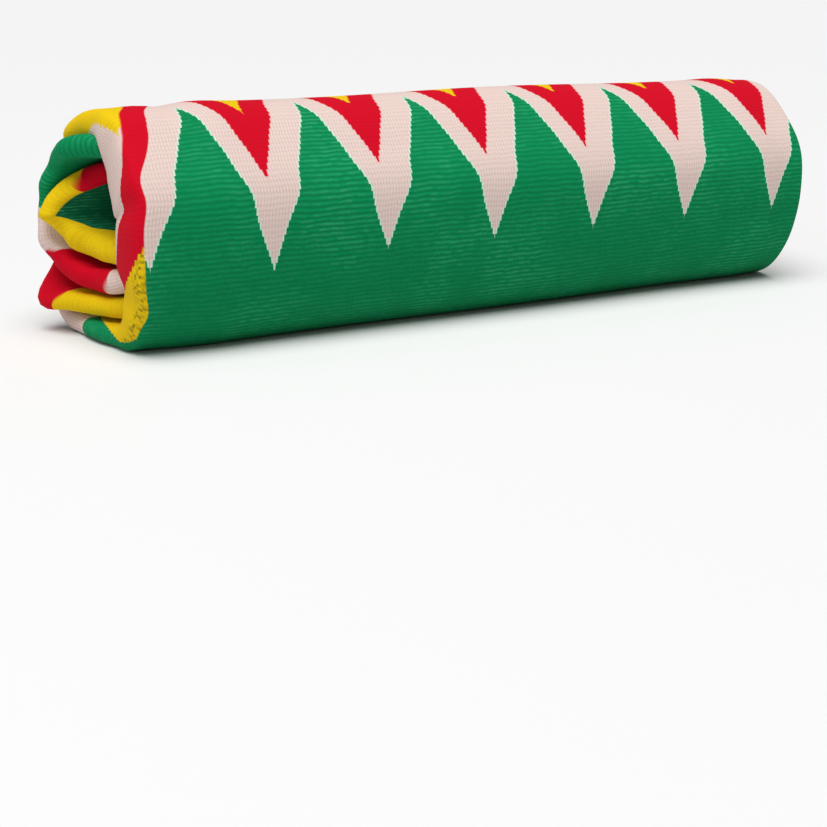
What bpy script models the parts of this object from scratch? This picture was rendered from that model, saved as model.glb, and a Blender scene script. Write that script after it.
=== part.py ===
"""A kente cloth, folded to a long packet and rolled up loosely, lying on its side.

The cloth is one piece, folded in two along its length and in three across its width. The solid is
that packet: a slab with rounded edges, wound in a spiral whose turns stay a little apart. The loose
end lies under the roll, and the innermost end is bunched up inside. The turns have slipped past
each other at the ends, as they do in a cloth rolled by hand.

+X runs along the roll, -Y is its front and +Z is up. The origin is on the face that it rests on.
"""

import math

import bmesh
import bpy
import numpy as np

MM = 0.001

# Driving sizes
ROLL_LENGTH = 392 * MM
PACKET_THICKNESS = 10.5 * MM
LOOSE_END_ANGLE = -135.0
TURNS = 3.25

# The middle of the packet, counted in turns inwards from the loose end. The angle goes from the
# front over the top and down the back, and each turn is a superellipse about its own middle.
WINDING = (
    # turn, half_depth, half_height, middle_y, middle_z, squareness
    (0.000, 53.0, 63.0, 2.0, 58.0, 2.5),
    (0.125, 50.0, 58.0, 0.0, 58.0, 2.6),
    (0.375, 48.0, 52.0, 0.0, 58.0, 2.5),
    (0.500, 47.5, 52.0, 0.5, 58.0, 1.85),
    (0.625, 47.0, 51.5, 0.5, 58.0, 2.2),
    (0.875, 46.0, 47.0, 2.0, 58.0, 2.3),
    (1.125, 40.0, 41.0, 1.5, 58.0, 2.4),
    (1.375, 36.0, 40.0, 0.0, 58.0, 2.3),
    (1.500, 35.5, 40.0, 0.2, 58.0, 1.80),
    (1.625, 35.0, 39.5, 0.5, 58.0, 2.1),
    (1.875, 34.0, 35.0, 1.5, 58.5, 2.1),
    (2.125, 28.0, 28.5, 1.5, 57.5, 2.0),
    (2.375, 23.0, 27.0, 1.5, 57.5, 2.1),
    (2.625, 22.0, 27.0, 2.0, 58.0, 2.1),
    (2.875, 20.5, 19.0, 3.0, 61.0, 1.8),
    (3.050, 17.0, 14.0, 3.0, 60.0, 2.0),
    (3.250, 12.0, 16.5, 1.0, 60.0, 2.2),
)

# How far each end of the packet stands out past the roll's length, how full the packet is, and how
# far its inner layers flare away from the outer ones at the left end.
ENDS = (
    # turn, left, right, fullness, flare
    (0.000, 17.0, 4.0, 1.00, 1.0),
    (0.150, 10.0, 3.0, 1.00, 1.0),
    (0.250, 5.0, 0.0, 1.00, 14.0),
    (0.375, 6.0, 3.0, 1.00, 27.0),
    (0.500, 6.0, 2.0, 1.00, 28.0),
    (0.600, 5.0, 1.0, 1.00, 11.0),
    (0.700, 12.0, 1.0, 1.00, 1.0),
    (0.875, 10.0, 4.0, 1.00, 0.0),
    (0.950, 18.0, 3.0, 1.00, 0.0),
    (1.010, 30.0, 3.0, 1.00, 0.0),
    (1.060, 20.0, 3.0, 1.00, 0.0),
    (1.125, 6.0, 2.0, 1.00, 0.0),
    (1.250, -20.0, -1.0, 0.98, 0.0),
    (1.375, -30.0, -4.0, 0.98, 0.0),
    (1.500, -22.0, -3.0, 0.98, 0.0),
    (1.625, 13.0, -1.0, 1.02, 0.0),
    (1.750, 23.0, 1.0, 1.02, 0.0),
    (1.850, 27.0, 3.0, 1.04, 0.0),
    (2.000, 21.0, 0.0, 1.00, 1.0),
    (2.125, 8.0, -2.0, 1.00, 2.0),
    (2.250, -10.0, -4.0, 1.00, 0.0),
    (2.400, -30.0, -5.0, 0.97, 0.0),
    (2.550, -18.0, -5.0, 0.97, 0.0),
    (2.700, 8.0, -4.0, 1.10, 0.0),
    (2.780, 22.0, -3.0, 1.18, 0.0),
    (2.850, 30.0, -2.0, 1.22, 0.0),
    (2.940, 22.0, -2.0, 1.35, 0.0),
    (3.060, 11.0, -3.0, 1.35, 0.0),
    (3.250, 4.0, -6.0, 1.55, 0.0),
)
FLARE_DEPTH = 28 * MM

# Mesh steps
STEP_ANGLE = 11.0
SIDES = (-1.0, -0.96, -0.92, -0.88, -0.84, -0.74, -0.5, -0.25, 0.0, 0.25, 0.5, 0.78, 0.93, 1.0)
EDGE_STEPS = 6
END_STEPS = (0.0, 0.4, 0.75, 1.0)
LOOSE_END_ROUNDING = 0.018
INNER_END_ROUNDING = 0.05
END_BLUNTNESS = 0.15

# The roll is a little thicker at its left end, swells and wanders along its length, and is drawn in
# just at its two ends.
ROLL_MIDDLE = 57.5 * MM
TAPER = 0.018
END_DRAW_IN = 0.03
END_REGION = 40.0 * MM
SWELL = 0.009
SWELL_PERIOD = 210.0 * MM
SWELL_START = 0.9
WANDER = 1.4 * MM
WANDER_PERIOD = 500.0 * MM


def column(table, index):
    """One column of a table, as an array."""
    return np.array([row[index] for row in table])


def eased(at, table, index):
    """A column of a table at any turn: cubic Hermite curves, each slope that of its neighbours."""
    knots = column(table, 0)
    values = column(table, index)
    slopes = np.gradient(values, knots)
    below = np.clip(np.searchsorted(knots, at, side="right") - 1, 0, len(knots) - 2)
    width = knots[below + 1] - knots[below]
    t = np.clip((at - knots[below]) / width, 0.0, 1.0)
    return (
        (2 * t**3 - 3 * t**2 + 1) * values[below]
        + (t**3 - 2 * t**2 + t) * width * slopes[below]
        + (3 * t**2 - 2 * t**3) * values[below + 1]
        + (t**3 - t**2) * width * slopes[below + 1]
    )


def smooth_step(t):
    """0 below 0, 1 above 1, and an even rise between."""
    t = np.clip(t, 0.0, 1.0)
    return t * t * (3 - 2 * t)


def signed_power(value, power):
    """The size of a value raised to a power, with the value's sign."""
    return np.sign(value) * np.abs(value) ** power


def section(turn):
    """(y, z) of the packet's middle at each turn: superellipses that shrink inwards."""
    half_depth, half_height, middle_y, middle_z, squareness = (
        eased(turn, WINDING, index) for index in range(1, 6)
    )
    angle = math.radians(LOOSE_END_ANGLE) + 2 * math.pi * turn
    y = middle_y - half_depth * signed_power(np.cos(angle), 2 / squareness)
    z = middle_z + half_height * signed_power(np.sin(angle), 2 / squareness)
    return y * MM, z * MM


def outline():
    """The packet's cross-section: along is -1 to 1 over its flat sides, and out its rounded edges.

    It runs along the outer side, round the right edge, back along the inner side and round the
    left edge. Up is 1 on the outer side and -1 on the inner one.
    """
    side = np.array(SIDES)
    bend = np.radians(np.linspace(90.0, -90.0, EDGE_STEPS + 1)[1:-1])
    along = np.concatenate([side, np.ones(len(bend)), side[::-1], -np.ones(len(bend))])
    out = np.concatenate([0 * side, np.cos(bend), 0 * side, -np.cos(bend)])
    up = np.concatenate([0 * side + 1, np.sin(bend), 0 * side - 1, -np.sin(bend)])
    return along, out, up


def steps_along_winding():
    """The turns at which sections are set, and how full each is: both ends are rounded off."""
    ends = np.array(END_STEPS)
    first = LOOSE_END_ROUNDING
    last = TURNS - INNER_END_ROUNDING
    even = np.linspace(first, last, round((last - first) * 360 / STEP_ANGLE) + 1)[1:-1]
    turn = np.concatenate([ends * first, even, TURNS - ends[::-1] * INNER_END_ROUNDING])
    round_off = np.sqrt(1 - (1 - END_BLUNTNESS) * (1 - ends) ** 2)
    full = np.concatenate([round_off, np.ones(len(even)), round_off[::-1]])
    return turn, full


def uneven(x, y, z):
    """Tapers the roll, draws its ends in and lets it swell and wander."""
    to_end = (np.abs(x) - (ROLL_LENGTH / 2 - END_REGION)) / END_REGION
    scale = 1 - TAPER * x / (ROLL_LENGTH / 2) - END_DRAW_IN * smooth_step(to_end) ** 2
    scale = scale + SWELL * np.sin(2 * math.pi * x / SWELL_PERIOD + SWELL_START)
    y = y * scale + WANDER * np.sin(2 * math.pi * x / WANDER_PERIOD)
    return y, ROLL_MIDDLE + (z - ROLL_MIDDLE) * scale


def packet_points():
    """Sections by points: the winding's middle, lifted off along its normal, never under the floor."""
    turn, full = steps_along_winding()
    along, out, up = outline()
    half = PACKET_THICKNESS / 2 * eased(turn, ENDS, 3) * full
    left = -ROLL_LENGTH / 2 - eased(turn, ENDS, 1) * MM + half
    right = ROLL_LENGTH / 2 + eased(turn, ENDS, 2) * MM - half
    centre = (left + right) / 2
    reach = (right - left) / 2
    x = centre[:, None] + reach[:, None] * along + half[:, None] * out
    y, z = section(turn)
    y, z = uneven(x, y[:, None], z[:, None])
    z = np.maximum(z, PACKET_THICKNESS / 2)
    forward_y = np.gradient(y, axis=0)
    forward_z = np.gradient(z, axis=0)
    length = np.hypot(forward_y, forward_z)
    from_left = (x - left[:, None]) / FLARE_DEPTH
    flare = (eased(turn, ENDS, 4) * MM * full)[:, None] * (1 - smooth_step(from_left))
    lift = half[:, None] * up - flare * (1 - up) / 2
    y = y - lift * forward_z / length
    z = z + lift * forward_y / length
    y = y - (y.min() + y.max()) / 2
    x = x - (x.min() + x.max()) / 2
    return np.stack([x, y, np.maximum(z, 0.0)], axis=-1)


def packet_mesh():
    """The sections joined by quads, with the first and last of them closed."""
    points = packet_points()
    rows, ring = points.shape[:2]
    this = np.arange(ring)
    after = (this + 1) % ring
    start = (np.arange(rows - 1) * ring)[:, None]
    sides = np.stack([start + this, start + after, start + ring + after, start + ring + this], -1)
    mesh = bpy.data.meshes.new("packet")
    last = (rows - 1) * ring
    caps = [this[::-1].tolist(), (last + this).tolist()]
    mesh.from_pydata(points.reshape(-1, 3).tolist(), [], sides.reshape(-1, 4).tolist() + caps)
    mesh.update()
    return mesh


def cotton():
    """Woven cotton in the ground colour of the cloth."""
    material = bpy.data.materials.new("woven_cotton")
    material.use_nodes = True
    shader = material.node_tree.nodes["Principled BSDF"]
    shader.inputs["Base Color"].default_value = (0.0, 0.23, 0.08, 1.0)
    shader.inputs["Roughness"].default_value = 0.85
    shader.inputs["Metallic"].default_value = 0.0
    return material


def rolled_cloth(collection):
    """The wound packet as one closed body, with its faces pointing out."""
    cloth = bpy.data.objects.new("rolled_cloth", packet_mesh())
    collection.objects.link(cloth)
    cloth.data.materials.append(cotton())
    shape = bmesh.new()
    shape.from_mesh(cloth.data)
    bmesh.ops.recalc_face_normals(shape, faces=shape.faces)
    shape.to_mesh(cloth.data)
    shape.free()
    cloth.data.shade_smooth()


def main():
    for thing in list(bpy.data.objects):
        bpy.data.objects.remove(thing)
    collection = bpy.data.collections.new("folded kente cloth")
    bpy.context.scene.collection.children.link(collection)
    rolled_cloth(collection)


main()
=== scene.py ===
"""A rolled kente cloth, dressed over its solid: the woven sheet in its folds, its colours and a stage.

The sheet is one cloth, folded in two along its length, then in three across its width like a
letter, and rolled up from one end. It is worked out as one grid, and its pattern is drawn by the
material on the cloth's own flat coordinates.
"""

import math

import bpy
import numpy as np
from bpy.props import FloatProperty, FloatVectorProperty, PointerProperty
from bpy.types import Operator, Panel, PropertyGroup
from mathutils import Matrix, Vector


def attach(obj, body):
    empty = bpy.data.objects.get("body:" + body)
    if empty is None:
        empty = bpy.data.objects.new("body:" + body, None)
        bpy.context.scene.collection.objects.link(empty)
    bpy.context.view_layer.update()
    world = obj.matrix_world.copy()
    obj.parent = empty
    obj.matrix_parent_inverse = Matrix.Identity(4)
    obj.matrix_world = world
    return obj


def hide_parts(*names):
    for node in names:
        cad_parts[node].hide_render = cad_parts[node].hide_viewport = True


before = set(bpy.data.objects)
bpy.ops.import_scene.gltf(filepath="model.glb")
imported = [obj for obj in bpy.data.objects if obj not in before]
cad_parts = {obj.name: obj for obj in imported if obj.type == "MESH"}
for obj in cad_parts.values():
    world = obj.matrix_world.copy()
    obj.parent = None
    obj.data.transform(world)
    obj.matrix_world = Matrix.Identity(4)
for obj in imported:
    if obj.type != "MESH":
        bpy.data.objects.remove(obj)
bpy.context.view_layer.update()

bl_info = {
    "name": "Rolled kente cloth",
    "version": (1, 0, 0),
    "blender": (4, 5, 0),
    "location": "3D View > Sidebar > Kente",
    "description": "Weaves, folds and rolls a kente cloth and sets it on a plain stage",
    "category": "Object",
}

MM = 0.001
NODE = "rolled_cloth"

# The winding: the packet's middle, counted in turns inwards from the loose end.
ROLL_LENGTH = 392 * MM
PACKET_THICKNESS = 10.5 * MM
LOOSE_END_ANGLE = -135.0
TURNS = 3.25
WINDING = (
    # turn, half_depth, half_height, middle_y, middle_z, squareness
    (0.000, 53.0, 63.0, 2.0, 58.0, 2.5),
    (0.125, 50.0, 58.0, 0.0, 58.0, 2.6),
    (0.375, 48.0, 52.0, 0.0, 58.0, 2.5),
    (0.500, 47.5, 52.0, 0.5, 58.0, 1.85),
    (0.625, 47.0, 51.5, 0.5, 58.0, 2.2),
    (0.875, 46.0, 47.0, 2.0, 58.0, 2.3),
    (1.125, 40.0, 41.0, 1.5, 58.0, 2.4),
    (1.375, 36.0, 40.0, 0.0, 58.0, 2.3),
    (1.500, 35.5, 40.0, 0.2, 58.0, 1.80),
    (1.625, 35.0, 39.5, 0.5, 58.0, 2.1),
    (1.875, 34.0, 35.0, 1.5, 58.5, 2.1),
    (2.125, 28.0, 28.5, 1.5, 57.5, 2.0),
    (2.375, 23.0, 27.0, 1.5, 57.5, 2.1),
    (2.625, 22.0, 27.0, 2.0, 58.0, 2.1),
    (2.875, 20.5, 19.0, 3.0, 61.0, 1.8),
    (3.050, 17.0, 14.0, 3.0, 60.0, 2.0),
    (3.250, 12.0, 16.5, 1.0, 60.0, 2.2),
)

# Each end of the packet: how far it stands out, how full it is and how far its inner layers flare.
ENDS = (
    # turn, left, right, fullness, flare
    (0.000, 17.0, 4.0, 1.00, 1.0),
    (0.150, 10.0, 3.0, 1.00, 1.0),
    (0.250, 5.0, 0.0, 1.00, 14.0),
    (0.375, 6.0, 3.0, 1.00, 27.0),
    (0.500, 6.0, 2.0, 1.00, 28.0),
    (0.600, 5.0, 1.0, 1.00, 11.0),
    (0.700, 12.0, 1.0, 1.00, 1.0),
    (0.875, 10.0, 4.0, 1.00, 0.0),
    (0.950, 18.0, 3.0, 1.00, 0.0),
    (1.010, 30.0, 3.0, 1.00, 0.0),
    (1.060, 20.0, 3.0, 1.00, 0.0),
    (1.125, 6.0, 2.0, 1.00, 0.0),
    (1.250, -20.0, -1.0, 0.98, 0.0),
    (1.375, -30.0, -4.0, 0.98, 0.0),
    (1.500, -22.0, -3.0, 0.98, 0.0),
    (1.625, 13.0, -1.0, 1.02, 0.0),
    (1.750, 23.0, 1.0, 1.02, 0.0),
    (1.850, 27.0, 3.0, 1.04, 0.0),
    (2.000, 21.0, 0.0, 1.00, 1.0),
    (2.125, 8.0, -2.0, 1.00, 2.0),
    (2.250, -10.0, -4.0, 1.00, 0.0),
    (2.400, -30.0, -5.0, 0.97, 0.0),
    (2.550, -18.0, -5.0, 0.97, 0.0),
    (2.700, 8.0, -4.0, 1.10, 0.0),
    (2.780, 22.0, -3.0, 1.18, 0.0),
    (2.850, 30.0, -2.0, 1.22, 0.0),
    (2.940, 22.0, -2.0, 1.35, 0.0),
    (3.060, 11.0, -3.0, 1.35, 0.0),
    (3.250, 4.0, -6.0, 1.55, 0.0),
)
FLARE_DEPTH = 28 * MM

# How the roll tapers, is drawn in at its ends, swells and wanders along its length.
ROLL_MIDDLE = 57.5 * MM
TAPER = 0.018
END_DRAW_IN = 0.03
END_REGION = 40.0 * MM
SWELL = 0.009
SWELL_PERIOD = 210.0 * MM
SWELL_START = 0.9
WANDER = 1.4 * MM
WANDER_PERIOD = 500.0 * MM

# The sheet as it was cut, and how its two plies and three layers lie in the packet.
PLY_STEP = 1.25 * MM
MIDDLE_LAYER = 0.4 * MM
MIDDLE_LAYER_START = 14 * MM
INNER_LAYER_END = 10 * MM
FOLD_SWELL_DEPTH = 30 * MM
LOOSE_END_BLUNTNESS = 0.8
CORE_END_BLUNTNESS = 0.05
END_ROUNDING = 6 * MM

# Soft creases and swellings of the whole packet, each a ridge or, if lifted by less than nothing, a
# trough. It is narrow one way and long the other, and may run aslant.
CREASES = (
    # turn, x_mm, half_turns, half_x_mm, slant_mm, lift_mm
    (0.640, -168, 0.060, 9, -60, -1.6),
    (0.560, -150, 0.090, 12, 40, 1.1),
    (0.470, -172, 0.120, 7, 0, -0.9),
    (0.300, -160, 0.080, 10, -70, 0.9),
    (0.480, -60, 0.022, 70, 0, -0.6),
    (0.400, 60, 0.030, 80, 0, 0.8),
    (0.330, 150, 0.026, 50, 0, -0.8),
    (0.560, 168, 0.100, 12, 30, 0.9),
    (0.420, 182, 0.080, 9, -50, -0.9),
    (0.620, 20, 0.030, 90, 0, 0.9),
    (0.680, -70, 0.020, 60, 0, -0.8),
    (0.760, 90, 0.026, 80, 0, 0.8),
    (0.850, -40, 0.060, 26, 90, -1.0),
    (0.900, 140, 0.080, 14, -60, 1.0),
    (1.620, -190, 0.040, 12, 60, -1.4),
    (1.740, -196, 0.035, 14, -80, 1.3),
    (1.820, -190, 0.030, 12, 50, -1.3),
    (1.980, -190, 0.035, 13, 0, 1.2),
    (2.060, -180, 0.030, 12, 70, -1.3),
    (2.720, -186, 0.030, 12, 40, 1.2),
    (2.800, -190, 0.026, 12, -60, -1.3),
    (2.920, -190, 0.030, 13, 50, 1.4),
    (3.010, -180, 0.026, 12, 0, -1.3),
    (1.000, -224, 0.060, 10, 0, 10.5),
    (1.070, -182, 0.024, 12, 60, -1.3),
    (0.020, -186, 0.020, 14, 0, 1.2),
    (0.070, -180, 0.020, 12, 0, -0.9),
)

# The folds at the left end also stand out and fill up unevenly along the winding.
FOLD_WAVES = (
    # waves_per_turn, start, stand_mm, fill
    (3.7, 0.4, 1.1, 0.05),
    (8.3, 1.9, 0.8, 0.05),
    (14.9, 3.0, 0.4, 0.03),
)

# Grid steps: along the winding a row comes every so many millimetres and degrees of turning.
ROW_LENGTH = 4.6 * MM
ROW_TURNING = 12.0
INNER_ROW_FACTOR = 0.5
COLUMNS_MIDDLE_LAYER = 12
COLUMNS_RIGHT_LOOP = 9
COLUMNS_OUTER_LAYER = 56
COLUMNS_LEFT_LOOP = 13
COLUMNS_INNER_LAYER = 32
LENGTH_SAMPLES = 4001
ROW_SAMPLES = 2001

# The pattern on the flat cloth: the zigzag's repeat along the roll and its heights round the roll.
ZIGZAG_REPEAT = 62 * MM
ZIGZAG_START = 2.7 * MM
ZIGZAG_HEIGHT = 81 * MM
WHITE_HEIGHT = 40 * MM
RED_HEIGHT = 37.5 * MM
BAND_MIDDLE = 217.5 * MM
BAND_REPEAT = 400 * MM
BAND_HALF_HEIGHT = 102 * MM
TOOTH = 3.2 * MM
TOOTH_SLANT = 0.3
RED_SHIFT = 2.2 * MM
LONG_TIP = 64.7 * MM
LONG_TIP_DROP = 4.5 * MM

# The border past the left fold: bands of colour round the roll. Each is reached at a place that moves
# by its shift for each millimetre across from its peak, counted from the edge of the main pattern.
BORDER = (
    # from_mm, peak_mm, shift, colour
    (-50, 0, 0.0, "white"),
    (28, 0, 0.0, "green"),
    (80, 0, -3.3, "yellow"),
    (126.5, 0, -1.4, "red"),
    (203, 0, -3.0, "white"),
    (182, 14.6, 1.4, "yellow"),
    (262, 0, 0.0, "green"),
    (300, 0, 0.0, "red"),
    (328, 0, 0.3, "yellow"),
    (383, 0, 0.0, "green"),
    (529, 0, 0.3, "white"),
    (552, 0, 0.3, "red"),
    (590, 0, 0.2, "white"),
    (600, 0, 0.2, "red"),
    (683, 0, 0.15, "yellow"),
)

# A red stripe beside the main pattern, where the border turns yellow.
STRIPE_WIDTH = 12.5 * MM
STRIPE_FROM = 150 * MM
STRIPE_TO = 300 * MM

# Where the border starts across the cloth, as steps round the roll, and the plain ground past it, painted a
# darker green as shade, from nearer the fold in the core.
BORDER_EDGE = (
    # from_mm, to_mm, step_mm
    (60, 112, 3.5),
    (150, 182, 11.0),
    (182, 212, 12.0),
    (290, 330, -17.0),
)
BORDER_EDGE_START = -3 * MM
SHADED_LINING_FROM = 45 * MM
CORE_FROM = (630 * MM, 650 * MM)
CORE_TO = (700 * MM, 752 * MM)
CORE_SHADED_LINING_FROM = 24 * MM

# How the threads mix where colours meet, and the colours that come in besides the main four: mint and pink
# # for the mixed threads, a pale green painted on as highlights, a near black painted on as shade in the
# weave's
# # hollows and also used for a darker tone and flecks, and a darker green lining painted on as shade deep
# inside the packet.
SOFT_EDGE = 0.7 * MM
FRINGE = 2.6 * MM
PINK_SHARE = 0.7
MINT = (0.56, 0.80, 0.64, 1.0)
PINK = (0.88, 0.42, 0.42, 1.0)
HIGHLIGHT_GREEN = (0.06, 0.42, 0.21, 1.0)
DARK_SHADE_AND_TONE = (0.002, 0.020, 0.008, 1.0)
SHADED_LINING = (0.002, 0.12, 0.045, 1.0)

# The weave. Its ribs are a little loose, a cloud thins its marks out, and each mark is a share of a
# colour that is mixed in: pale dashes on the ribs' tops in the green, painted on as highlights,
# painted shade in the green's grooves, in the lines between the white's threads and in the gaps
# between threads everywhere, and dark flecks in the yellow beside the lip.
LOOSENESS = 1.6 * MM
LOOSE_SCALE = 90.0
CLOUD_SCALE = 24.0
CLOUD_RANGE = (0.3, 0.7)
GLINT_LENGTH = 3.4 * MM
GLINT_SHARE = 0.34
GLINT_LEAST = 0.2
GROOVE_SHADE_SHARE = 0.05
GREEN_GROOVE_SHADE_SHARE = 0.10
CLOUD_GROOVE_SHADE_SHARE = 0.12
WHITE_LINE_SHADE_SHARE = 0.13
THREAD_GAP_SHADE_SHARE = 0.04
CLOUD_SHADE_SHARE = 0.14
FLECKS_ACROSS = (-9 * MM, -5 * MM)
FLECKS_END = (126 * MM, 140 * MM)
FLECK_SIZE = 1.4 * MM
FLECK_LUCK = (0.3, 1.0)
FLECK_SHARE = 0.6

# Which colour is woven at a place, told from its red, green and blue parts.
RED_PART_OF_OTHERS = (0.05, 0.35)
GREEN_PART_OF_YELLOW = (0.2, 0.4)
BLUE_PART_OF_WHITE = (0.2, 0.5)

# The weave's relief, as shares of the bump's height, and how matt the cotton is.
BUMP_HEIGHT = 0.25 * MM
RIB_RELIEF = 0.25
GREEN_RIB_RELIEF = 0.45
THREAD_RELIEF = 0.2
WHITE_LINE_RELIEF = 0.3
COTTON_ROUGHNESS = 0.8
COTTON_SPECULAR = 0.05
SHEEN_WEIGHT = 0.01
SHEEN_ROUGHNESS = 0.5

# Where the photograph's camera stands: the roll's near end, seen at this pixel and this far away.
PHOTO_SIZE = 827.0
PHOTO_FOCAL = 1580.0
PHOTO_AZIMUTH = -28.1
PHOTO_PITCH = 16.75
NEAR_END = Vector((-ROLL_LENGTH / 2 + 13 * MM, 0.0, ROLL_MIDDLE))
NEAR_END_PIXEL = (112.5, 226.7)
NEAR_END_DEPTH = 0.773
SENSOR = 36.0
CLIP_START = 0.01

# The floor, and the lights: an even sky, a key as soft as a large window and a fill for the left end.
FLOOR_REACH = 40.0
FLOOR_ROUGHNESS = 0.9
SKY_COLOUR = (1.0, 1.0, 1.0, 1.0)
SKY_STRENGTH = 0.20
KEY_STRENGTH = 3.5
KEY_SOFTNESS = math.radians(50.0)
KEY_PLACE = (-0.3, -0.5, 2.0)
FILL_POWER = 2.0
FILL_SIZE = 0.8
FILL_PLACE = (-1.3, -0.4, 0.5)


class KenteSettings(PropertyGroup):
    """Sizes and colours that a user would change."""

    cloth_thickness: FloatProperty(
        name="Cloth thickness",
        description="Thickness of the woven cloth",
        default=1.0 * MM,
        subtype="DISTANCE",
    )
    rib_pitch: FloatProperty(
        name="Rib pitch",
        description="Distance from one rib of the weave to the next",
        default=2.4 * MM,
        subtype="DISTANCE",
    )
    thread_pitch: FloatProperty(
        name="Thread pitch",
        description="Distance from one thread to the next along a rib",
        default=1.65 * MM,
        subtype="DISTANCE",
    )
    green: FloatVectorProperty(
        name="Ground", description="Colour of the ground", default=(0.001, 0.25, 0.085), subtype="COLOR"
    )
    white: FloatVectorProperty(
        name="White", description="Colour of the zigzag", default=(0.73, 0.57, 0.52), subtype="COLOR"
    )
    red: FloatVectorProperty(
        name="Red", description="Colour inside the zigzag", default=(0.56, 0.001, 0.015), subtype="COLOR"
    )
    yellow: FloatVectorProperty(
        name="Yellow", description="Colour of the diamonds", default=(0.74, 0.50, 0.005), subtype="COLOR"
    )
    floor: FloatVectorProperty(
        name="Floor", description="Colour of the floor", default=(0.74, 0.74, 0.74), subtype="COLOR"
    )


def column(table, index):
    """One column of a table, as an array."""
    return np.array([row[index] for row in table])


def eased(at, table, index):
    """A column of a table at any turn: cubic Hermite curves, each slope that of its neighbours."""
    knots = column(table, 0)
    values = column(table, index)
    slopes = np.gradient(values, knots)
    below = np.clip(np.searchsorted(knots, at, side="right") - 1, 0, len(knots) - 2)
    width = knots[below + 1] - knots[below]
    t = np.clip((at - knots[below]) / width, 0.0, 1.0)
    return (
        (2 * t**3 - 3 * t**2 + 1) * values[below]
        + (t**3 - 2 * t**2 + t) * width * slopes[below]
        + (3 * t**2 - 2 * t**3) * values[below + 1]
        + (t**3 - t**2) * width * slopes[below + 1]
    )


def smooth_step(t):
    """0 below 0, 1 above 1, and an even rise between."""
    t = np.clip(t, 0.0, 1.0)
    return t * t * (3 - 2 * t)


def signed_power(value, power):
    """The size of a value raised to a power, with the value's sign."""
    return np.sign(value) * np.abs(value) ** power


def section(turn):
    """(y, z) of the packet's middle at each turn: superellipses that shrink inwards."""
    half_depth, half_height, middle_y, middle_z, squareness = (
        eased(turn, WINDING, index) for index in range(1, 6)
    )
    angle = math.radians(LOOSE_END_ANGLE) + 2 * math.pi * turn
    y = middle_y - half_depth * signed_power(np.cos(angle), 2 / squareness)
    z = middle_z + half_height * signed_power(np.sin(angle), 2 / squareness)
    return y * MM, z * MM


def uneven(x, y, z):
    """Tapers the roll, draws its ends in and lets it swell and wander."""
    to_end = (np.abs(x) - (ROLL_LENGTH / 2 - END_REGION)) / END_REGION
    scale = 1 - TAPER * x / (ROLL_LENGTH / 2) - END_DRAW_IN * smooth_step(to_end) ** 2
    scale = scale + SWELL * np.sin(2 * math.pi * x / SWELL_PERIOD + SWELL_START)
    y = y * scale + WANDER * np.sin(2 * math.pi * x / WANDER_PERIOD)
    return y, ROLL_MIDDLE + (z - ROLL_MIDDLE) * scale


def winding_length(turn):
    """The length of the winding's middle from the loose end up to each turn."""
    fine = np.linspace(0.0, TURNS, LENGTH_SAMPLES)
    y, z = section(fine)
    z = np.maximum(z, PACKET_THICKNESS / 2)
    steps = np.hypot(np.diff(y), np.diff(z))
    return np.interp(turn, fine, np.concatenate([[0.0], np.cumsum(steps)]))


def row_turns(factor):
    """Turns at which rows are set, closer together where the winding bends more."""
    fine = np.linspace(0.0, TURNS, ROW_SAMPLES)
    effort = winding_length(fine) / ROW_LENGTH + fine * 360 / ROW_TURNING
    count = round(effort[-1] * factor)
    return np.interp(np.linspace(0.0, effort[-1], count), effort, fine)


def crowded(count):
    """Numbers from 0 to 1 that crowd towards both ends: half a cosine wave, mixed with even steps."""
    even = np.linspace(0.0, 1.0, count)
    return 0.5 * even + 0.5 * (0.5 - 0.5 * np.cos(math.pi * even))


def rounded_off(to_end, bluntness):
    """How full the packet is at some distance from its end: a quarter of an ellipse, cut off blunt."""
    return np.sqrt(1 - (1 - bluntness) * (1 - np.clip(to_end / END_ROUNDING, 0, 1)) ** 2)


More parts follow.
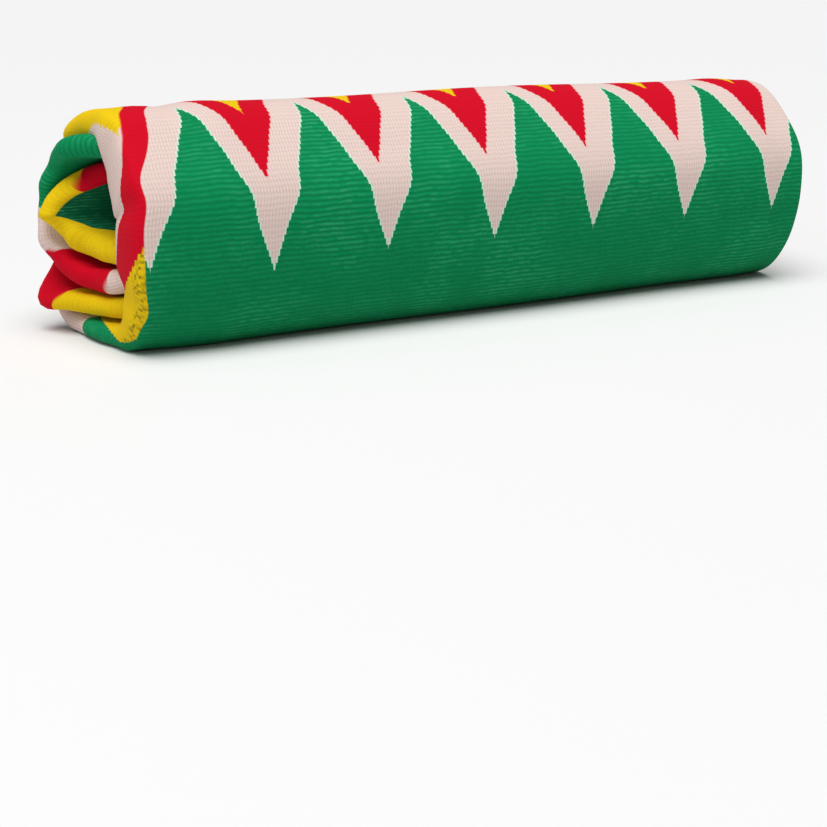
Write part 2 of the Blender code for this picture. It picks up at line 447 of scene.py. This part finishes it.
def letter_fold(turn, inset):
    """(x, h, across) of one ply on a grid of turns by columns.

    h is the height above the packet's middle, and across is the place on the flat cloth, nought at
    the left fold. The ply runs along the middle layer to the right, up round a half circle, back
    along the outer layer, down round a half ellipse at the left and along the inner layer.
    """
    rows = turn[:, None]
    fullness = eased(rows, ENDS, 3)
    to_loose_end = winding_length(rows)
    to_core_end = winding_length(TURNS) - to_loose_end
    squeeze = rounded_off(to_loose_end, LOOSE_END_BLUNTNESS) * rounded_off(to_core_end, CORE_END_BLUNTNESS)
    half = (PACKET_THICKNESS / 2 - PLY_STEP / 2) * fullness * squeeze
    left = -ROLL_LENGTH / 2 - eased(rows, ENDS, 1) * MM + PACKET_THICKNESS / 2 * fullness
    right = ROLL_LENGTH / 2 + eased(rows, ENDS, 2) * MM
    inset = inset * squeeze
    top = half - inset
    middle = (MIDDLE_LAYER + inset) * squeeze
    small = (top - middle) / 2
    right = right - small
    flare = eased(rows, ENDS, 4) * MM
    swell = 1.0 + 0 * rows
    for waves, begin, stand, fill in FOLD_WAVES:
        left = left - stand * MM * np.sin(2 * math.pi * waves * rows + begin)
        swell = swell + fill * np.sin(2 * math.pi * waves * rows + 2 * begin)

    t = crowded(COLUMNS_MIDDLE_LAYER)[:-1]
    start = left + MIDDLE_LAYER_START
    x_middle = start + (right - start) * t
    h_middle = middle + 0 * x_middle

    bend = np.linspace(-math.pi / 2, math.pi / 2, COLUMNS_RIGHT_LOOP)[:-1]
    x_right = right + small * np.cos(bend)
    h_right = (top + middle) / 2 + small * np.sin(bend)

    t = crowded(COLUMNS_OUTER_LAYER)[:-1]
    x_outer = right + (left - right) * t
    h_outer = top + 0 * x_outer

    bend = np.linspace(math.pi / 2, -math.pi / 2, COLUMNS_LEFT_LOOP)[:-1]
    x_left = left - (half - inset) * np.cos(bend)
    h_left = -flare / 2 + (half - inset + flare / 2) * np.sin(bend)
    near_left = 1 - smooth_step((x_outer - left) / FOLD_SWELL_DEPTH)
    h_outer = h_outer * (1 + (swell - 1) * near_left)
    h_left = h_left * swell

    t = crowded(COLUMNS_INNER_LAYER)
    x_inner = left + (right - INNER_LAYER_END - left) * t
    h_inner = -(half - inset) - flare * (1 - smooth_step((x_inner - left) / FLARE_DEPTH))
    near_left = 1 - smooth_step((x_inner - left) / FOLD_SWELL_DEPTH)
    h_inner = h_inner * (1 + (swell - 1) * near_left)

    x = np.concatenate([x_middle, x_right, x_outer, x_left, x_inner], axis=1)
    h = np.concatenate([h_middle, h_right, h_outer, h_left, h_inner], axis=1)
    steps = np.hypot(np.diff(x, axis=1), np.diff(h, axis=1))
    travelled = np.concatenate([np.zeros_like(rows), np.cumsum(steps, axis=1)], axis=1)
    # The left fold starts after three parts, each of which leaves its last column to the next.
    fold = COLUMNS_MIDDLE_LAYER + COLUMNS_RIGHT_LOOP + COLUMNS_OUTER_LAYER - 3
    at_fold = travelled[:, fold : fold + 1]
    across = at_fold - travelled
    return x, h, across


def creased(turn, x):
    """How far the creases lift the packet at each turn and place along the roll."""
    lift = 0 * x
    for middle, at_x, half_turns, half_x, slant, height in CREASES:
        off_turn = turn - middle
        off_x = x - (at_x + slant * off_turn) * MM
        lift = lift + height * MM * np.exp(-((off_turn / half_turns) ** 2) - (off_x / (half_x * MM)) ** 2)
    return lift


def lifted(turn, x, h):
    """Points at the heights h above the winding's middle, along its normal, none under the floor."""
    y, z = section(turn)
    y, z = uneven(x, y[:, None], z[:, None])
    z = np.maximum(z, PACKET_THICKNESS / 2)
    along = winding_length(turn)
    forward_y = np.gradient(y, along, axis=0)
    forward_z = np.gradient(z, along, axis=0)
    length = np.hypot(forward_y, forward_z)
    h = h + creased(turn[:, None], x)
    y = y - h * forward_z / length
    z = z + h * forward_y / length
    return y, z


def ply(turn, inset):
    """(points, across, down) of one ply, from the loose end inwards."""
    x, h, across = letter_fold(turn, inset)
    y, z = lifted(turn, x, h)
    down = winding_length(turn)[:, None] + 0 * x
    return np.stack([x, y, z], axis=-1), across, down


def sheet_grid(thickness):
    """(points, across, down) of the whole cloth: the outer ply inwards, then the inner ply back."""
    outer_points, outer_across, outer_down = ply(row_turns(1.0), 0.0)
    inner_points, inner_across, inner_down = ply(row_turns(INNER_ROW_FACTOR), PLY_STEP)
    inner_down = 2 * winding_length(TURNS) - inner_down
    points = np.concatenate([outer_points, inner_points[::-1]])
    across = np.concatenate([outer_across, inner_across[::-1]])
    down = np.concatenate([outer_down, inner_down[::-1]])
    points[..., 2] = np.maximum(points[..., 2], thickness / 2)
    for axis in (0, 1):
        points[..., axis] -= (points[..., axis].min() + points[..., axis].max()) / 2
    return points, across, down


def mesh_from_grid(name, points, across, down):
    """A mesh of quads on a grid of points, with the flat cloth's coordinates in metres as its UV map."""
    rows, columns = points.shape[:2]
    corner = (np.arange(rows - 1)[:, None] * columns + np.arange(columns - 1)).ravel()
    quads = np.column_stack([corner, corner + 1, corner + columns + 1, corner + columns])
    mesh = bpy.data.meshes.new(name)
    mesh.from_pydata(points.reshape(-1, 3), [], quads)
    flat = np.stack([across.ravel(), down.ravel()], axis=-1)
    layer = mesh.uv_layers.new(name="cloth")
    layer.data.foreach_set("uv", flat[quads.ravel()].ravel())
    mesh.polygons.foreach_set("use_smooth", np.ones(len(quads), dtype=bool))
    mesh.update()
    return mesh


class Graph:
    """A material's nodes, made by one method."""

    def __init__(self, material):
        self.tree = material.node_tree

    def node(self, kind, settings=None, **sockets):
        """A node of a kind: its settings are set first, then its sockets by name or by position."""
        made = self.tree.nodes.new(kind)
        for key, value in (settings or {}).items():
            setattr(made, key, value)
        for key, value in sockets.items():
            place = int(key[1:]) if key[0] == "s" and key[1:].isdigit() else key.replace("_", " ")
            socket = made.inputs[place]
            if isinstance(value, Value):
                value = value.socket
            if isinstance(value, bpy.types.NodeSocket):
                self.tree.links.new(value, socket)
            else:
                socket.default_value = value
        return made

    def maths(self, operation, *values):
        """A Math node on values, as a Value."""
        sockets = {f"s{index}": value for index, value in enumerate(values)}
        made = self.node("ShaderNodeMath", {"operation": operation}, **sockets)
        return Value(self, made.outputs[0])

    def mixed(self, factor, first, second):
        """A colour between two, as a socket."""
        made = self.node("ShaderNodeMix", {"data_type": "RGBA"}, s0=factor, s6=first, s7=second)
        return made.outputs[2]

    def rising(self, value, low, high):
        """0 below low, 1 above high, with an even rise between, as a Value."""
        settings = {"interpolation_type": "SMOOTHSTEP"}
        made = self.node("ShaderNodeMapRange", settings, s0=value, s1=low, s2=high, s3=0.0, s4=1.0)
        return Value(self, made.outputs[0])


class Value:
    """A number that varies over the surface. Arithmetic on it adds Math nodes."""

    def __init__(self, graph, socket):
        self.graph = graph
        self.socket = socket

    def __add__(self, other):
        return self.graph.maths("ADD", self, other)

    __radd__ = __add__

    def __sub__(self, other):
        return self.graph.maths("SUBTRACT", self, other)

    def __rsub__(self, other):
        return self.graph.maths("SUBTRACT", other, self)

    def __mul__(self, other):
        return self.graph.maths("MULTIPLY", self, other)

    __rmul__ = __mul__

    def __truediv__(self, other):
        return self.graph.maths("DIVIDE", self, other)

    def __abs__(self):
        return self.graph.maths("ABSOLUTE", self)

    def floor(self):
        return self.graph.maths("FLOOR", self)

    def wave(self):
        """0 to 1 and back over each whole number: half of one less the cosine."""
        return 0.5 - 0.5 * self.graph.maths("COSINE", self * (2 * math.pi))

    def zigzag(self, reach):
        """Up to reach and back down, evenly."""
        return self.graph.maths("PINGPONG", self, reach)


def zigzag_colour(graph, across, stepped, colours):
    """The main pattern: bands of nested zigzags on the ground, with a pale fringe at their edges."""
    from_middle = (stepped - (BAND_MIDDLE - BAND_REPEAT)).zigzag(BAND_REPEAT / 2)
    steepness = 2 * ZIGZAG_HEIGHT / ZIGZAG_REPEAT
    long_tip = 1 - abs(across - LONG_TIP) / (ZIGZAG_REPEAT / 2)
    raised = graph.maths("MAXIMUM", long_tip, 0.0) * LONG_TIP_DROP + BAND_HALF_HEIGHT - from_middle
    white_height = raised - (across - ZIGZAG_START).zigzag(ZIGZAG_REPEAT / 2) * steepness
    height = raised - (across - ZIGZAG_START + RED_SHIFT).zigzag(ZIGZAG_REPEAT / 2) * steepness
    red_from = WHITE_HEIGHT
    yellow_from = WHITE_HEIGHT + RED_HEIGHT
    in_white = graph.rising(white_height, -SOFT_EDGE, SOFT_EDGE)
    past_fringe = graph.rising(white_height, SOFT_EDGE, SOFT_EDGE + FRINGE)
    near_red = graph.rising(height, red_from - FRINGE, red_from)
    in_red = graph.rising(height, red_from - SOFT_EDGE, red_from + SOFT_EDGE)
    in_yellow = graph.rising(height, yellow_from - SOFT_EDGE, yellow_from + SOFT_EDGE)
    pale = graph.mixed(past_fringe, MINT, colours["white"])
    pale = graph.mixed(near_red * PINK_SHARE, pale, PINK)
    main = graph.mixed(in_white, colours["green"], pale)
    main = graph.mixed(in_red, main, colours["red"])
    return graph.mixed(in_yellow, main, colours["yellow"])


def border_colour(graph, past, down, stepped, colours):
    """The bands past the left fold, and the plain ground further in, painted a darker green as shade deep
    inside the packet.
    """
    border = colours["green"]
    for start, peak, shift, name in BORDER:
        place = stepped - abs(past - peak * MM) * shift
        reached = graph.rising(place, start * MM - SOFT_EDGE, start * MM + SOFT_EDGE)
        border = graph.mixed(reached, border, colours[name])
    in_core = graph.rising(down, *CORE_FROM) - graph.rising(down, *CORE_TO)
    in_stripe = graph.rising(stepped, STRIPE_FROM, STRIPE_FROM + TOOTH)
    in_stripe = in_stripe - graph.rising(stepped, STRIPE_TO, STRIPE_TO + TOOTH)
    in_stripe = in_stripe * (1 - graph.rising(past - STRIPE_WIDTH, -SOFT_EDGE, SOFT_EDGE))
    border = graph.mixed(in_stripe, border, colours["red"])
    # Painted shade: past this start the plain ground is a darker green, as the shade deep inside the
    # packet, and it starts nearer the fold in the core's hollow.
    shaded_lining_from = SHADED_LINING_FROM - in_core * (SHADED_LINING_FROM - CORE_SHADED_LINING_FROM)
    in_shaded_lining = graph.rising(past - shaded_lining_from, -SOFT_EDGE, SOFT_EDGE)
    return graph.mixed(in_shaded_lining, border, colours["lining"])


def pattern_colour(graph, across, down, settings):
    """The colour woven at each place, with the border's edge stepped in across the cloth."""
    colours = {name: (*getattr(settings, name), 1.0) for name in ("green", "white", "red", "yellow")}
    # The lining is the ground's green, darkened as painted shade.
    colours["lining"] = SHADED_LINING
    step = (down / TOOTH).floor() * TOOTH
    stepped = step * (1 - TOOTH_SLANT) + down * TOOTH_SLANT
    edge = BORDER_EDGE_START
    for low, high, inset in BORDER_EDGE:
        edge = graph.rising(down, low * MM, high * MM) * (inset * MM) + edge
    past = edge - across
    main = zigzag_colour(graph, across, stepped, colours)
    border = border_colour(graph, past, down, stepped, colours)
    return graph.mixed(graph.rising(past, -SOFT_EDGE / 2, SOFT_EDGE / 2), main, border)


def noise(graph, place, scale):
    """Soft noise from 0 to 1 on the flat cloth, as a Value."""
    made = graph.node("ShaderNodeTexNoise", {"noise_dimensions": "2D"}, Vector=place, Scale=scale)
    return Value(graph, made.outputs["Fac"])


def luck(graph, column_number, row_number):
    """A number from 0 to 1 for each cell of a grid, as a Value."""
    cell = graph.node("ShaderNodeCombineXYZ", s0=column_number, s1=row_number)
    made = graph.node("ShaderNodeTexWhiteNoise", {"noise_dimensions": "2D"}, Vector=cell.outputs[0])
    return Value(graph, made.outputs["Value"])


def kente_material(settings):
    """Woven cotton. The ground shows its ribs, with lighter dashes painted on their tops as highlights and
    painted shade in their grooves, and the white its threads, with painted shade between them.
    """
    material = bpy.data.materials.new("kente_weave")
    material.use_nodes = True
    graph = Graph(material)
    shader = graph.tree.nodes["Principled BSDF"]
    place = graph.node("ShaderNodeUVMap", {"uv_map": "cloth"}).outputs[0]
    parts = graph.node("ShaderNodeSeparateXYZ", s0=place)
    across = Value(graph, parts.outputs[0])
    down = Value(graph, parts.outputs[1])
    woven = pattern_colour(graph, across, down, settings)

    mix = graph.node("ShaderNodeSeparateColor", s0=woven)
    in_green = 1 - graph.rising(Value(graph, mix.outputs[0]), *RED_PART_OF_OTHERS)
    in_white = graph.rising(Value(graph, mix.outputs[2]), *BLUE_PART_OF_WHITE)
    in_yellow = graph.rising(Value(graph, mix.outputs[1]), *GREEN_PART_OF_YELLOW) * (1 - in_white)

    loose = (noise(graph, place, LOOSE_SCALE) - 0.5) * LOOSENESS
    ribs = (down + loose) / settings.rib_pitch
    rib = ribs.wave()
    row = ribs.floor()
    thread = (across / settings.thread_pitch + row * 0.5).wave()
    warp = (across / settings.thread_pitch).wave()
    cloud = graph.rising(noise(graph, place, CLOUD_SCALE), *CLOUD_RANGE)

    # Painted highlight: pale dashes on the ribs' tops, standing in for glints of light on the green.
    glint = luck(graph, (across / GLINT_LENGTH).floor(), row) * rib
    glint = glint * (GLINT_LEAST + cloud * (1 - GLINT_LEAST)) * in_green * GLINT_SHARE
    woven = graph.mixed(glint, woven, HIGHLIGHT_GREEN)
    # Painted shade: darkening in the grooves between ribs, in the lines between the white's threads and in
    # the gaps between all threads.
    groove_shade = (1 - rib) * (GROOVE_SHADE_SHARE + in_green * (GREEN_GROOVE_SHADE_SHARE + cloud * CLOUD_GROOVE_SHADE_SHARE))
    groove_shade = groove_shade + warp * in_white * WHITE_LINE_SHADE_SHARE + (1 - thread) * THREAD_GAP_SHADE_SHARE
    woven = graph.mixed(groove_shade, woven, DARK_SHADE_AND_TONE)
    # The same dark also gives the green a darker tone at random, and below gives the yellow its dark
    # flecks.
    woven = graph.mixed((1 - cloud) * in_green * CLOUD_SHADE_SHARE, woven, DARK_SHADE_AND_TONE)
    fleck = luck(graph, (across / FLECK_SIZE).floor(), (down / FLECK_SIZE).floor())
    flecked = graph.rising(across, *FLECKS_ACROSS) * (1 - graph.rising(down, *FLECKS_END)) * in_yellow
    woven = graph.mixed(graph.rising(fleck, *FLECK_LUCK) * flecked * FLECK_SHARE, woven, DARK_SHADE_AND_TONE)
    graph.tree.links.new(woven, shader.inputs["Base Color"])

    height = rib * (RIB_RELIEF + in_green * GREEN_RIB_RELIEF)
    height = height + thread * THREAD_RELIEF + (1 - warp) * in_white * WHITE_LINE_RELIEF
    bump = graph.node("ShaderNodeBump", Height=height, Distance=BUMP_HEIGHT, Strength=1.0)
    graph.tree.links.new(bump.outputs[0], shader.inputs["Normal"])
    shader.inputs["Roughness"].default_value = COTTON_ROUGHNESS
    shader.inputs["Specular IOR Level"].default_value = COTTON_SPECULAR
    shader.inputs["Sheen Weight"].default_value = SHEEN_WEIGHT
    shader.inputs["Sheen Roughness"].default_value = SHEEN_ROUGHNESS
    return material


class OBJECT_OT_kente_cloth(Operator):
    """Weaves the cloth and lays it in its folds on the roll"""

    bl_idname = "object.kente_cloth"
    bl_label = "Rolled kente cloth"

    def execute(self, context):
        settings = context.scene.kente
        points, across, down = sheet_grid(settings.cloth_thickness)
        mesh = mesh_from_grid("kente_cloth", points, across, down)
        cloth = bpy.data.objects.new("kente_cloth", mesh)
        context.scene.collection.objects.link(cloth)
        mesh.materials.append(kente_material(settings))
        thickness = cloth.modifiers.new("Cloth thickness", "SOLIDIFY")
        thickness.thickness = settings.cloth_thickness
        thickness.offset = 0.0
        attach(cloth, "root")
        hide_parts(NODE)
        return {"FINISHED"}


class OBJECT_OT_kente_stage(Operator):
    """Sets the floor, the lights and the camera at the photograph's angle"""

    bl_idname = "object.kente_stage"
    bl_label = "Stage, lights and camera"

    def execute(self, context):
        settings = context.scene.kente
        self.floor(context, settings)
        self.lights(context)
        self.camera(context)
        return {"FINISHED"}

    def floor(self, context, settings):
        """A wide pale floor just under the roll."""
        corners = [(FLOOR_REACH * x, FLOOR_REACH * y, 0.0) for x, y in ((-1, -1), (1, -1), (1, 1), (-1, 1))]
        mesh = bpy.data.meshes.new("floor")
        mesh.from_pydata(corners, [], [(0, 1, 2, 3)])
        floor = bpy.data.objects.new("floor", mesh)
        context.scene.collection.objects.link(floor)
        material = bpy.data.materials.new("pale_floor")
        material.use_nodes = True
        shader = material.node_tree.nodes["Principled BSDF"]
        shader.inputs["Base Color"].default_value = (*settings.floor, 1.0)
        shader.inputs["Roughness"].default_value = FLOOR_ROUGHNESS
        mesh.materials.append(material)

    def lights(self, context):
        """An even pale sky, a broad key light from above and in front and a weak fill from the left."""
        world = bpy.data.worlds.new("studio")
        world.use_nodes = True
        sky = world.node_tree.nodes["Background"]
        sky.inputs["Color"].default_value = SKY_COLOUR
        sky.inputs["Strength"].default_value = SKY_STRENGTH
        context.scene.world = world
        context.scene.view_settings.view_transform = "Standard"
        key = bpy.data.lights.new("key", "SUN")
        key.energy = KEY_STRENGTH
        key.angle = KEY_SOFTNESS
        self.aimed(context, key, KEY_PLACE)
        fill = bpy.data.lights.new("fill", "AREA")
        fill.energy = FILL_POWER
        fill.size = FILL_SIZE
        self.aimed(context, fill, FILL_PLACE)

    def aimed(self, context, light, place):
        """Puts a light in its place, aimed at the middle of the roll."""
        lamp = bpy.data.objects.new(light.name, light)
        lamp.location = place
        aim = Vector((0.0, 0.0, ROLL_MIDDLE)) - lamp.location
        lamp.rotation_euler = aim.to_track_quat("-Z", "Y").to_euler()
        context.scene.collection.objects.link(lamp)

    def camera(self, context):
        """A camera at the photograph's angle, placed so that the near end falls on its pixel."""
        azimuth = math.radians(PHOTO_AZIMUTH)
        pitch = math.radians(PHOTO_PITCH)
        ahead = Vector((-math.sin(azimuth), math.cos(azimuth), 0.0))
        look = ahead * math.cos(pitch) - Vector((0.0, 0.0, math.sin(pitch)))
        right = Vector((math.cos(azimuth), math.sin(azimuth), 0.0))
        up = right.cross(look)
        aside = (NEAR_END_PIXEL[0] - PHOTO_SIZE / 2) / PHOTO_FOCAL
        down = (NEAR_END_PIXEL[1] - PHOTO_SIZE / 2) / PHOTO_FOCAL
        lens = bpy.data.cameras.new("photo_view")
        lens.sensor_width = SENSOR
        lens.lens = PHOTO_FOCAL / PHOTO_SIZE * SENSOR
        lens.clip_start = CLIP_START
        camera = bpy.data.objects.new("photo_view", lens)
        turned = Matrix((right, up, -look)).transposed()
        camera.rotation_euler = turned.to_euler()
        camera.location = NEAR_END - NEAR_END_DEPTH * (look + right * aside - up * down)
        context.scene.collection.objects.link(camera)
        context.scene.camera = camera


class VIEW3D_PT_kente(Panel):
    """Lists the steps and the sizes"""

    bl_label = "Kente cloth"
    bl_idname = "VIEW3D_PT_kente"
    bl_space_type = "VIEW_3D"
    bl_region_type = "UI"
    bl_category = "Kente"

    def draw(self, context):
        settings = context.scene.kente
        for name in KenteSettings.__annotations__:
            self.layout.prop(settings, name)
        self.layout.operator(OBJECT_OT_kente_cloth.bl_idname)
        self.layout.operator(OBJECT_OT_kente_stage.bl_idname)


CLASSES = (KenteSettings, OBJECT_OT_kente_cloth, OBJECT_OT_kente_stage, VIEW3D_PT_kente)


def register():
    for each in CLASSES:
        bpy.utils.register_class(each)
    bpy.types.Scene.kente = PointerProperty(type=KenteSettings)


def unregister():
    del bpy.types.Scene.kente
    for each in reversed(CLASSES):
        bpy.utils.unregister_class(each)


def main():
    """Makes the stage and the cloth."""
    register()
    bpy.ops.object.kente_stage()
    bpy.ops.object.kente_cloth()
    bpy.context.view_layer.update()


if __name__ == "__main__":
    main()
